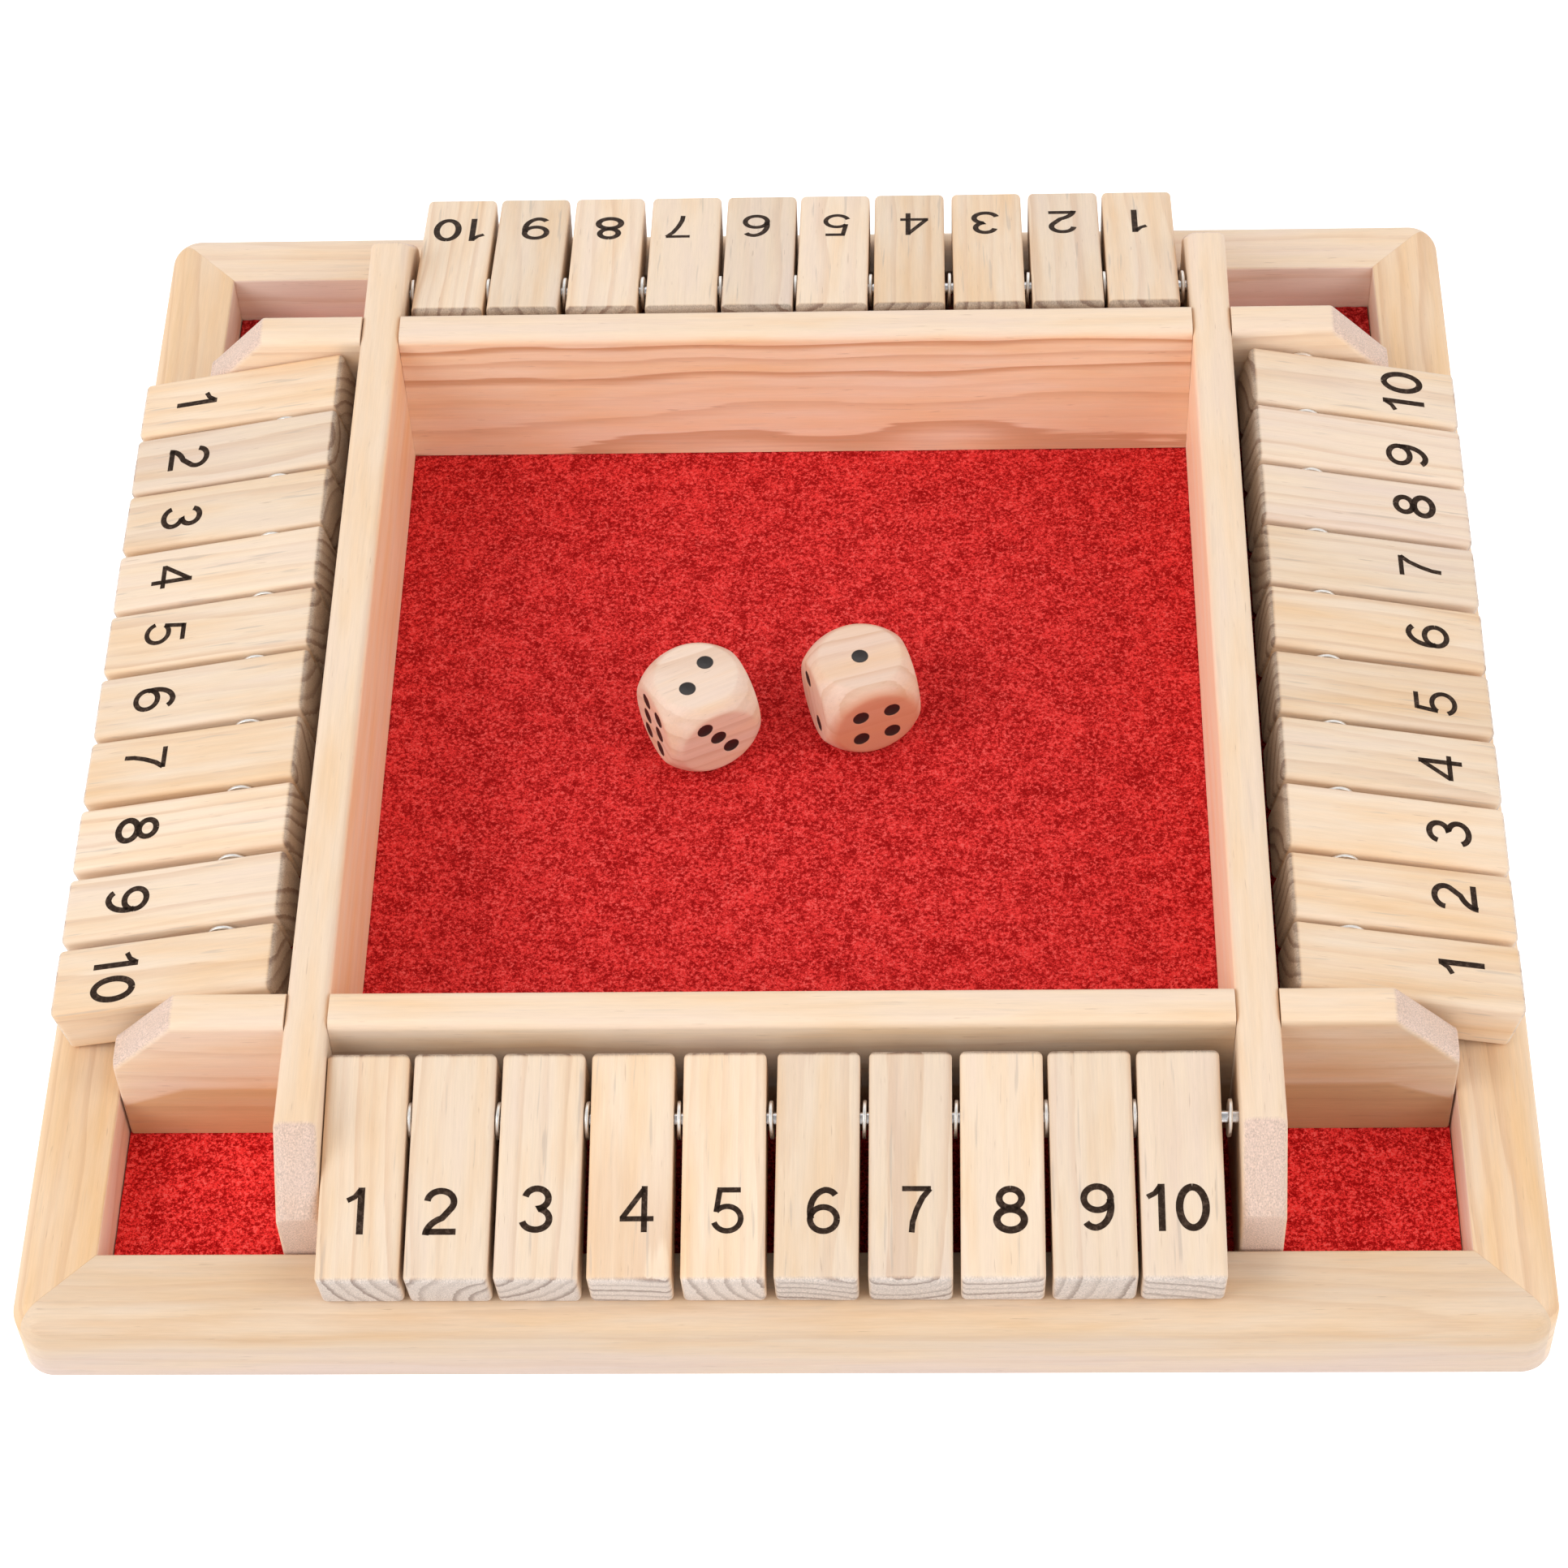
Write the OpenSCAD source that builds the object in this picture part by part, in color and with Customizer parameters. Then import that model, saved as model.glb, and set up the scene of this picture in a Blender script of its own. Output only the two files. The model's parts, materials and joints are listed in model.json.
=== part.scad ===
// Four-sided shut-the-box game: a mitred tray with a felt floor, a grid of four
// half-lapped boards, and four banks of ten numbered tiles hung on steel rods.
// Origin: centre of the underside. +X right, +Y back, +Z up. Millimetres.

/* [Tray] */
// Width of each mitred rail, seen from above
rail_w = 12; // [10:0.5:16]
// Height of each rail
rail_h = 14.4; // [12:0.2:18]
// Radius of the rounded outer top edge of the rails
rail_round = 4; // [1:0.5:4.5]
// Radius of the tray's corners, seen from above
corner_r = 5; // [4.5:0.5:8]
// Thickness of the base board let into the rails
base_t = 4; // [3:0.5:6]
// Width of the rebate under the rails that takes the base board
rebate_w = 6; // [4:0.5:8]
// Thickness of the felt
felt_t = 1; // [0.6:0.1:2]

/* [Grid boards] */
// Thickness of each of the four boards
wall_t = 6.4; // [5:0.2:8]
// Height of the boards above the felt
wall_h = 28.3; // [26:0.1:34]
// Radius of the boards' rounded top edges
wall_round = 1.8; // [0.6:0.2:2.4]
// Size of the 45 degree cut on the boards' top corners
wall_chamfer = 10; // [4:0.5:14]
// Distance from a board's outer face to the axis of the rod beside it
rod_from_wall = 11.6; // [11.2:0.1:14]

/* [Tiles] */
// Number of tiles in each bank
tile_count = 10; // [9:1:12]
// Width of a tile
tile_w = 12; // [10:0.5:15]
// Length of a tile
tile_l = 35; // [30:0.5:45]
// Thickness of a tile
tile_t = 9.4; // [7:0.1:10]
// Radius of a tile's long edges
tile_round = 1.2; // [0.6:0.1:2]
// Radius of the edges round a tile's two ends
tile_end_round = 1; // [0.4:0.1:2]
// Length of a tile behind its rod, towards the board
tile_tail = 9.4; // [6:0.1:9.8]
// Depth of the rod's axis below a tile's number face
bore_depth = 3.2; // [2.5:0.1:5]
// How far the number end of a tile lies over the rail
rail_lap = 8.3; // [4:0.1:10]
// Height of the rods' axes above the rails
rod_rise = 11.3; // [9:0.1:13]
// How unevenly the loose tiles stand along their rods, from 0 for even
tile_wander = 1; // [0:0.1:1]
// Place of the front bank along its rod, to the right of the middle
shift_front = -1.2; // [-1.2:0.1:1.2]
// Place of the back bank along its rod, to the right of the middle
shift_back = -0.2; // [-1.2:0.1:1.2]
// Place of the left bank along its rod, to the back of the middle
shift_left = 1.2; // [-1.2:0.1:1.2]
// Place of the right bank along its rod, to the back of the middle
shift_right = 0.3; // [-1.2:0.1:1.2]

/* [Rods and washers] */
// Diameter of the four steel rods
rod_d = 2; // [1.5:0.1:3]
// Depth of the blind holes that hold the rods
rod_seat = 4; // [3:0.2:4.6]
// Outer diameter of a washer
washer_d = 5.6; // [4.5:0.1:6.4]
// Thickness of a washer
washer_t = 0.5; // [0.3:0.1:0.6]

/* [Dice] */
// Size of a die across its flats
die_s = 16; // [12:0.5:18]
// Diameter of the sphere that rounds a die's corners
die_ball = 20.7; // [20.5:0.1:24]
// Diameter of a die's pips
pip_d = 2.7; // [1.4:0.1:2.8]
// Depth of a die's pips
pip_deep = 0.3; // [0.2:0.05:0.6]
// Distance of a die's corner pips from the middle of the face, each way
pip_step = 2.6; // [2.4:0.1:3.2]
// How far the left die's middle lies to the left of the game's middle
die_left_x = 15; // [12:0.5:50]
// How far the left die's middle lies behind the game's middle
die_left_y = 3; // [-20:0.5:20]
// How far the right die's middle lies to the right of the game's middle
die_right_x = 11; // [10:0.5:50]
// How far the right die's middle lies behind the game's middle
die_right_y = 6.7; // [-20:0.1:20]
// Turn of the left die on the felt, in degrees
die_left_yaw = 27; // [0:1:90]
// Turn of the right die on the felt, in degrees
die_right_yaw = 19; // [0:1:90]

/* [Hidden] */
$fn = 96;

// Clearances
felt_fit = 0.2;         // felt's edge to the rails
base_fit = 0.15;        // base board's edge to the rebate
wall_fit = 0.3;         // a board's end to the rail
lap_fit = 0.05;         // each side of a half-lap slot
seat_fit = 0.05;        // rod in its blind hole, on the radius
bore_fit = 0.08;        // rod in a tile's bore, on the radius
washer_fit = 0.2;       // rod in a washer, on the radius
rod_end_fit = 0.1;      // rod's end to the bottom of its hole
side_play = 0.28;       // tile to washer, at an even spacing
end_room = 1.35;        // last tile to the board, with the bank centred
rest_fit = 0.1;         // tile's number end to the rail it rests on
die_fit = 0.3;          // die to the felt
eps = 0.01;             // overrun of a cutting tool

// Heights
felt_top = base_t + felt_t;
wall_top = felt_top + wall_h;
rod_z = rail_h + rod_rise;

// Tilt of a resting tile: its lower number-end edge lies on the rail
tile_reach = tile_l - tile_tail;
edge_u = tile_reach - tile_end_round;
edge_n = tile_t - bore_depth - tile_end_round;
edge_r = sqrt(edge_u * edge_u + edge_n * edge_n);
tilt = asin((rod_rise - tile_end_round - rest_fit) / edge_r) - atan2(edge_n, edge_u);

// Distances from the middle of the game
tile_pitch = tile_w + washer_t + 2 * side_play;
wall_in = (tile_count * tile_w + (tile_count - 1) * (tile_pitch - tile_w)) / 2 + end_room;
wall_mid = wall_in + wall_t / 2;
wall_out = wall_in + wall_t;
rod_off = wall_out + rod_from_wall;
tile_end = rod_off + tile_reach * cos(tilt) - (tile_t - bore_depth) * sin(tilt);
rail_in = tile_end - rail_lap;
rail_out = rail_in + rail_w;
wall_end = rail_in - wall_fit;

// Sides of the game, in the order in which each bank is turned from the front one
SIDES = ["front", "right", "back", "left"];
FRONT = 0;
RIGHT = 1;
BACK = 2;
LEFT = 3;

// Place of each bank along its rod, in the direction in which its numbers rise
bank_shift = [shift_front, shift_right, -shift_back, -shift_left];
// Loose tiles bunch in waves: half waves along the rod, and their height
half_waves = [2, 2, 4, 1];
wave_height = [-0.55, -0.2, -0.3, -0.9];
function tile_x(side, n) =
    (n - (tile_count + 1) / 2) * tile_pitch + bank_shift[side]
    + tile_wander * wave_height[side] * sin(180 * half_waves[side] * (n - 1) / (tile_count - 1));

pine = "burlywood";
pale_pine = "wheat";
steel = "silver";

TRAY = ["base_board", "felt_sheet", "rail_front", "rail_back", "rail_left", "rail_right"];
GRID = ["wall_left", "wall_right", "wall_front", "wall_back"];
HARDWARE = [for (s = SIDES) for (kind = ["rod_", "washers_"]) str(kind, s)];
TILES = [for (s = SIDES) for (n = [1:tile_count]) str("tile_", s, "_", n)];
DICE = ["die_left", "die_right"];

// Turns what is made for the front to another side
module on_side(side) { rotate([0, 0, 90 * side]) children(); }

// ---- Tray ----

// Section of a rail: x runs inwards from the outer face, y is the height
module rail_section() {
    difference() {
        union() {
            square([rail_w, rail_h - rail_round]);
            translate([rail_round, 0]) square([rail_w - rail_round, rail_h]);
            translate([rail_round, rail_h - rail_round]) circle(r = rail_round);
        }
        translate([rail_w - rebate_w, -eps]) square([rebate_w + eps, base_t + eps]);
    }
}

// Section swept along the front side, centred, with the outer face at y = -rail_out
module rail_bar(length, from, to) {
    translate([-length / 2, -rail_out, 0])
        rotate([90, 0, 90])
            linear_extrude(length)
                intersection() {
                    rail_section();
                    translate([from, -eps]) square([to - from, rail_h + 2 * eps]);
                }
}

// Half of the rounded corner at the front right: a 45 degree turn of the section
module rail_corner() {
    translate([rail_out - corner_r, corner_r - rail_out, 0])
        rotate([0, 0, -90])
            rotate_extrude(angle = 45)
                intersection() {
                    translate([corner_r, 0]) mirror([1, 0]) rail_section();
                    square([corner_r, rail_h]);
                }
}

// One rail of the mitred tray, as the front one
module rail() {
    rail_bar(2 * (rail_out - corner_r), 0, corner_r);
    intersection() {
        rail_bar(2 * rail_out, corner_r, rail_w);
        linear_extrude(rail_h)
            polygon([[0, 0], [-rail_out, -rail_out], [rail_out, -rail_out]]);
    }
    rail_corner();
    mirror([1, 0, 0]) rail_corner();
}

module rail_front() { color(pine) rail(); }
module rail_right() { color(pine) on_side(RIGHT) rail(); }
module rail_back() { color(pine) on_side(BACK) rail(); }
module rail_left() { color(pine) on_side(LEFT) rail(); }

// Plywood base, flush with the underside of the rails
module base_board() {
    side = 2 * (rail_in + rebate_w - base_fit);
    color("tan") translate([-side / 2, -side / 2, 0]) cube([side, side, base_t]);
}

// Felt glued over the whole base, under the boards
module felt_sheet() {
    side = 2 * (rail_in - felt_fit);
    color("firebrick") translate([-side / 2, -side / 2, base_t]) cube([side, side, felt_t]);
}

// ---- Grid of half-lapped boards ----

// Section of a board: rounded top edges
module wall_section() {
    translate([-wall_t / 2, 0]) square([wall_t, wall_h - wall_round]);
    translate([wall_round - wall_t / 2, 0]) square([wall_t - 2 * wall_round, wall_h]);
    for (side = [-1, 1])
        translate([side * (wall_t / 2 - wall_round), wall_h - wall_round])
            circle(r = wall_round);
}

// A board lying along X, standing on z = 0, with its top corners cut at 45 degrees
module wall_blank() {
    difference() {
        translate([-wall_end, 0, 0])
            rotate([90, 0, 90]) linear_extrude(2 * wall_end) wall_section();
        for (side = [-1, 1])
            translate([side * wall_end, 0, wall_h - wall_chamfer])
                rotate([90, 0, 0])
                    linear_extrude(wall_t + 2 * eps, center = true)
                        polygon([[0, 0], [side, 0], [side, wall_chamfer + 1],
                                 [-side * (wall_chamfer + 1), wall_chamfer + 1],
                                 [-side * wall_chamfer, wall_chamfer]]);
    }
}

// Slots for the two crossing boards, from z0 up over half the height
module lap_slots(z0) {
    slot = wall_t + 2 * lap_fit;
    for (side = [-1, 1])
        translate([side * wall_mid - slot / 2, -wall_t, z0])
            cube([slot, 2 * wall_t, wall_h / 2 + eps]);
}

// Blind holes for the ends of two rods, in the face towards the middle of the game
module rod_holes() {
    for (side = [-1, 1])
        translate([side * rod_off, wall_t / 2 + eps, rod_z - felt_top])
            rotate([90, 0, 0])
                cylinder(d = rod_d + 2 * seat_fit, h = rod_seat + eps);
}

// Front or back board, slotted from above
module cross_board() {
    difference() {
        wall_blank();
        lap_slots(wall_h / 2);
        rod_holes();
    }
}

// Left or right board, slotted from below
module through_board() {
    difference() {
        wall_blank();
        lap_slots(-eps);
        rod_holes();
    }
}

module wall_front() { color(pine) translate([0, -wall_mid, felt_top]) cross_board(); }
module wall_back() { color(pine) on_side(BACK) translate([0, -wall_mid, felt_top]) cross_board(); }
module wall_left() { color(pine) on_side(LEFT) translate([0, -wall_mid, felt_top]) through_board(); }
module wall_right() { color(pine) on_side(RIGHT) translate([0, -wall_mid, felt_top]) through_board(); }

// ---- Rods and washers ----

// Rod of one bank, as the front one, let into the boards at both ends
module rod(side) {
    length = 2 * (wall_in + rod_seat - rod_end_fit);
    color(steel)
        on_side(side)
            translate([-length / 2, -rod_off, rod_z])
                rotate([0, 90, 0]) cylinder(d = rod_d, h = length);
}

// The gap after tile n of a bank, from 0 at one board to tile_count at the other
function gap_from(side, n) = n == 0 ? -wall_in : tile_x(side, n) + tile_w / 2;
function gap_to(side, n) = n == tile_count ? wall_in : tile_x(side, n + 1) - tile_w / 2;

module washer() {
    difference() {
        cylinder(d = washer_d, h = washer_t, center = true);
        cylinder(d = rod_d + 2 * washer_fit, h = washer_t + 2 * eps, center = true);
    }
}

// One washer in each gap beside and between the tiles that has room for it
module washers(side) {
    color(steel)
        on_side(side)
            for (n = [0:tile_count])
                if (gap_to(side, n) - gap_from(side, n) > washer_t + side_play / 2)
                    translate([(gap_from(side, n) + gap_to(side, n)) / 2, -rod_off, rod_z])
                        rotate([0, 90, 0]) washer();
}

// ---- Tiles ----

// Rectangle with true round corners, from [0, 0]
module rounded(size, r) {
    translate([r, 0]) square([size[0] - 2 * r, size[1]]);
    translate([0, r]) square([size[0], size[1] - 2 * r]);
    for (x = [r, size[0] - r])
        for (y = [r, size[1] - r])
            translate([x, y]) circle(r = r);
}

// A tile with its rod's axis along X through the origin and its number end at -Y
module tile() {
    difference() {
        intersection() {
            translate([0, tile_tail, 0])
                rotate([90, 0, 0])
                    linear_extrude(tile_l)
                        translate([-tile_w / 2, bore_depth - tile_t])
                            rounded([tile_w, tile_t], tile_round);
            rotate([90, 0, 90])
                linear_extrude(tile_w + 2 * eps, center = true)
                    translate([-tile_reach, bore_depth - tile_t])
                        rounded([tile_l, tile_t], tile_end_round);
        }
        rotate([0, 90, 0])
            cylinder(d = rod_d + 2 * bore_fit, h = tile_w + 2 * eps, center = true);
    }
}

// Tile n of a bank at rest, its number end down on the rail
module bank_tile(side, n) {
    color(pale_pine)
        on_side(side)
            translate([tile_x(side, n), -rod_off, rod_z])
                rotate([tilt, 0, 0]) tile();
}

// ---- Dice ----

// Places of the pips on a face, in steps from its middle
function pips(n) =
    n == 1 ? [[0, 0]]
    : n == 2 ? [[-1, 1], [1, -1]]
    : n == 3 ? [[-1, 1], [0, 0], [1, -1]]
    : n == 4 ? [[-1, 1], [1, -1], [-1, -1], [1, 1]]
    : n == 5 ? concat(pips(4), pips(1))
    : [for (x = [-0.8, 0.8]) for (y = [-1.3:1.3:1.3]) [x, y]];

// Turns that bring the +Z face to the top, bottom, front, back, left and right
face_turns = [[0, 0, 90], [180, 0, 0], [90, 0, 0], [90, 0, 180], [90, 0, -90], [90, 0, 90]];

// A die on the felt; faces gives its numbers in the order of face_turns
module die(place, yaw, faces) {
    color(pale_pine)
        translate([place[0], place[1], felt_top + die_fit + die_s / 2])
            rotate([0, 0, yaw])
                difference() {
                    intersection() {
                        cube(die_s, center = true);
                        sphere(d = die_ball);
                    }
                    for (k = [0:5])
                        rotate(face_turns[k])
                            for (p = pips(faces[k]))
                                translate([p[0] * pip_step, p[1] * pip_step,
                                           die_s / 2 - pip_deep])
                                    cylinder(d = pip_d, h = 1);
                }
}

module die_left() { die([-die_left_x, die_left_y], die_left_yaw, [2, 5, 3, 4, 6, 1]); }
module die_right() { die([die_right_x, die_right_y], die_right_yaw, [1, 6, 4, 3, 2, 5]); }

// ---- Drawing ----

base_board();
felt_sheet();
rail_front();
rail_back();
rail_left();
rail_right();
wall_left();
wall_right();
wall_front();
wall_back();
for (side = [0:3]) {
    rod(side);
    washers(side);
    for (n = [1:tile_count])
        bank_tile(side, n);
}
die_left();
die_right();
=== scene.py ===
import json
import math

import bpy
import numpy as np
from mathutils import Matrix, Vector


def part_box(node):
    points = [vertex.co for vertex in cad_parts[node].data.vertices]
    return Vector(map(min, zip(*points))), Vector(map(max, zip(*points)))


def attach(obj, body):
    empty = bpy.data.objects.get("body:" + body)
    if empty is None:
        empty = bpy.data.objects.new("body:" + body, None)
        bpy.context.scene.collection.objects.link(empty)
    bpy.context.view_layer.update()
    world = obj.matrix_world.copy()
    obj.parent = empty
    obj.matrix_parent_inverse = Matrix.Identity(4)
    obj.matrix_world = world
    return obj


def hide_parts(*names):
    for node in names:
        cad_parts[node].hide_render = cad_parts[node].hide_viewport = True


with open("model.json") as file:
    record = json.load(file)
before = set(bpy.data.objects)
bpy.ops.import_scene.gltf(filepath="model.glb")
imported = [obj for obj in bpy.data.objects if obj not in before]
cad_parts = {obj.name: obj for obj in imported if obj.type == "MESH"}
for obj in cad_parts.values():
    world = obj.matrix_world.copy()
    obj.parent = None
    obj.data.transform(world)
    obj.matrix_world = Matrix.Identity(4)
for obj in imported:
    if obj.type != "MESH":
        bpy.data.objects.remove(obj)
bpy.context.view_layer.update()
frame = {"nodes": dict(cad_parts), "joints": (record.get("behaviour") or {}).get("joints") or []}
nodes = frame["nodes"]


# --------------------
# Base board
# A square of raw pine plywood, let into a rebate under the rails and glued flush with
# their undersides. Only its underside shows.

MM = 0.001


def shader_node(tree, kind, settings, inputs):
    """One shader node. An input that is a socket is linked in, and any other value is set."""
    made = tree.nodes.new("ShaderNode" + kind)
    for name, value in settings.items():
        setattr(made, name, value)
    for name, value in inputs.items():
        if isinstance(value, bpy.types.NodeSocket):
            tree.links.new(value, made.inputs[name])
        else:
            made.inputs[name].default_value = value
    return made


def maths(tree, operation, *values, kind="Math"):
    """The output of a Math or VectorMath node that works on the given values or sockets."""
    inputs = dict(enumerate(values))
    return shader_node(tree, kind, {"operation": operation}, inputs).outputs[0]


def mixed(tree, share, first, second):
    """The colour that lies between first and second by share."""
    inputs = {0: share, 6: first, 7: second}
    return shader_node(tree, "Mix", {"data_type": "RGBA"}, inputs).outputs[2]


def scaled(tree, colour, factor):
    """The colour times a factor."""
    inputs = {0: colour, "Scale": factor}
    return shader_node(tree, "VectorMath", {"operation": "SCALE"}, inputs).outputs[0]


def ramped(tree, value, low, high, out_low=0.0, out_high=1.0):
    """A smooth step of value from out_low, below low, to out_high, above high."""
    settings = {"interpolation_type": "SMOOTHSTEP"}
    inputs = {0: value, 1: low, 2: high, 3: out_low, 4: out_high}
    return shader_node(tree, "MapRange", settings, inputs).outputs[0]


def stretched_noise(tree, vector, stretch, detail=2.0, roughness=0.5):
    """Noise, mostly from 0.3 to 0.7. Stretch is its cells along X, Y and Z to each unit of
    length: a millimetre for a board's own point, a metre for Object coordinates."""
    place = shader_node(tree, "Mapping", {}, {"Vector": vector, "Scale": stretch})
    inputs = {"Vector": place.outputs[0], "Scale": 1.0, "Detail": detail, "Roughness": roughness}
    return shader_node(tree, "TexNoise", {}, inputs)


# What varies in pine: its cells a millimetre along and across the grain, detail and roughness
PINE_NOISE = {
    "wave": ((0.012, 0.03, 0.03), 2.0, 0.5), "fray": ((0.05, 1.1, 1.1), 3.0, 0.5),
    "streak": ((0.035, 0.24, 0.24), 3.0, 0.5), "line": ((0.030, 1.6, 1.6), 3.0, 0.6),
    "fibre": ((0.25, 5.0, 5.0), 2.0, 0.6), "canal": ((0.20, 2.8, 2.8), 2.0, 0.5),
    "stain": ((0.07, 1.1, 1.1), 2.0, 0.5)}
# Millimetres: how far the grain bends the rings, and how far their edges fray
PINE_WANDER = 9.0
PINE_FRAY = 0.9
# The depth of the bump in metres, and the wood's tints
PINE_DEPTH = 0.03 * MM
HONEY = (0.84, 0.54, 0.285, 1)
GREYED = (0.80, 0.635, 0.55, 1)
RESIN = (0.36, 0.21, 0.14, 1)
STAINED = (0.52, 0.43, 0.36, 1)
SAWN_RING = (0.36, 0.275, 0.235, 1)
PINE_INPUTS = [
    ("Board", "Vector", (0, 0, 0)), ("End", "Float", 0.0), ("Ring Width", "Float", 2.4),
    ("Ring Strength", "Float", 0.3), ("Sawn Rings", "Float", 0.3), ("Warmth", "Float", 0.0),
    ("Light", "Float", 0.0), ("Stain", "Float", 0.15), ("Pale", "Color", (0.86, 0.665, 0.49, 1)),
    ("Late", "Color", (0.60, 0.335, 0.185, 1)), ("Sawn End", "Color", (0.67, 0.49, 0.415, 1))]


def make_pine_group():
    """Sawn pine. Board is a point in the board's own millimetres: X runs with the grain, and the
    pith is the line Y = Z = 0. The growth rings are the fraction of the distance from the pith
    over the ring width, which the grain's waviness bends. Late wood darkens each ring's end."""
    tree = bpy.data.node_groups.new("Pine", "ShaderNodeTree")
    for name, kind, value in PINE_INPUTS:
        socket = tree.interface.new_socket(name, in_out="INPUT", socket_type="NodeSocket" + kind)
        socket.default_value = value
    given = tree.nodes.new("NodeGroupInput").outputs
    board, end = given["Board"], given["End"]
    noise = {name: stretched_noise(tree, board, *look) for name, look in PINE_NOISE.items()}
    streak, line, fibre = (noise[name].outputs[0] for name in ("streak", "line", "fibre"))

    wave, wander = noise["wave"].outputs["Color"], (0.0, PINE_WANDER, PINE_WANDER)
    centred = maths(tree, "SUBTRACT", wave, (0.5, 0.5, 0.5), kind="VectorMath")
    bent = maths(tree, "MULTIPLY_ADD", centred, wander, board, kind="VectorMath")
    across = maths(tree, "MULTIPLY", bent, (0.0, 1.0, 1.0), kind="VectorMath")
    radius = shader_node(tree, "VectorMath", {"operation": "LENGTH"}, {0: across}).outputs["Value"]
    frayed = maths(tree, "MULTIPLY_ADD", noise["fray"].outputs[0], PINE_FRAY, radius)
    turns = maths(tree, "DIVIDE", frayed, given["Ring Width"])
    share = maths(tree, "FRACT", turns)
    luck = shader_node(tree, "TexWhiteNoise", {"noise_dimensions": "1D"},
                       {"W": maths(tree, "FLOOR", turns)})

    # A ring darkens from 0.45 to 0.90 of its width and ends sharply; some are faint by luck
    late = maths(tree, "MULTIPLY", ramped(tree, share, 0.45, 0.90),
                 ramped(tree, share, 0.92, 1.0, 1.0, 0.0))
    late = maths(tree, "MULTIPLY", late, ramped(tree, luck.outputs["Value"], 0.1, 1.0, 0.15, 1.0))
    strength = maths(tree, "MULTIPLY_ADD", end, given["Sawn Rings"], given["Ring Strength"])
    late = maths(tree, "MULTIPLY", late, maths(tree, "MAXIMUM", strength, 0.0))

    # Resin canals and stained fibres show only along the grain, in the noise's highest parts
    along = maths(tree, "SUBTRACT", 1.0, end)
    canal = maths(tree, "MULTIPLY", ramped(tree, noise["canal"].outputs[0], 0.68, 0.76), along)
    stain = maths(tree, "MULTIPLY", ramped(tree, noise["stain"].outputs[0], 0.64, 0.73), along)

    # Streaks above their middle are honey coloured, and those below it greyed
    warm = maths(tree, "MULTIPLY_ADD", streak, 1.9, maths(tree, "SUBTRACT", given["Warmth"], 0.95))
    ring = mixed(tree, end, given["Late"], SAWN_RING)
    colour = mixed(tree, maths(tree, "MAXIMUM", warm, 0.0), given["Pale"], HONEY)
    for share, most, tint in (
            (warm, -1.0, GREYED), (end, 0.9, given["Sawn End"]), (late, 1.0, ring),
            (canal, 0.30, RESIN), (stain, given["Stain"], STAINED)):
        colour = mixed(tree, maths(tree, "MULTIPLY", share, most), colour, tint)

    # Fibres speckle a sawn end most, and fine lines shade the wood along the grain
    speckle = maths(tree, "MULTIPLY_ADD", end, 1.1, 0.15)
    speckle = maths(tree, "MULTIPLY", maths(tree, "SUBTRACT", fibre, 0.5), speckle)
    shade = maths(tree, "MULTIPLY_ADD", maths(tree, "SUBTRACT", line, 0.5), 0.15, speckle)
    brightness = maths(tree, "ADD", maths(tree, "ADD", shade, 1.0), given["Light"])
    colour = scaled(tree, colour, brightness)
    rough = maths(tree, "MULTIPLY_ADD", fibre, 0.20, 0.45)
    height = maths(tree, "MULTIPLY_ADD", late, -0.5, maths(tree, "MULTIPLY", fibre, 0.8))
    result = tree.nodes.new("NodeGroupOutput")
    for name, kind, value in (
            ("Color", "Color", colour), ("Roughness", "Float", rough), ("Height", "Float", height)):
        tree.interface.new_socket(name, in_out="OUTPUT", socket_type="NodeSocket" + kind)
        tree.links.new(value, result.inputs[name])
    return tree


pine_group = make_pine_group()


def surface_material(name, settings):
    """A new material with a Principled BSDF; settings go onto the shader's own sockets."""
    material = bpy.data.materials.new(name)
    material.use_nodes = True
    tree = material.node_tree
    shader = tree.nodes["Principled BSDF"]
    for socket, value in settings.items():
        shader.inputs[socket].default_value = value
    return material, tree, shader


def dress(tree, shader, colour, rough=None, height=None, depth=0.0):
    """Feeds the shader a colour and, if given, a roughness and a height. The height goes through
    a Bump node of the given depth in metres."""
    tree.links.new(colour, shader.inputs["Base Color"])
    if rough is not None:
        tree.links.new(rough, shader.inputs["Roughness"])
    if height is not None:
        bump = shader_node(tree, "Bump", {}, {"Height": height, "Strength": 1.0, "Distance": depth})
        tree.links.new(bump.outputs[0], shader.inputs["Normal"])


def attribute(tree, name, output):
    """The named attribute of the mesh, as a socket."""
    return shader_node(tree, "Attribute", {"attribute_name": name}, {}).outputs[output]


def object_point(tree):
    """The point on the piece in metres, as a socket."""
    return shader_node(tree, "TexCoord", {}, {}).outputs["Object"]


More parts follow.
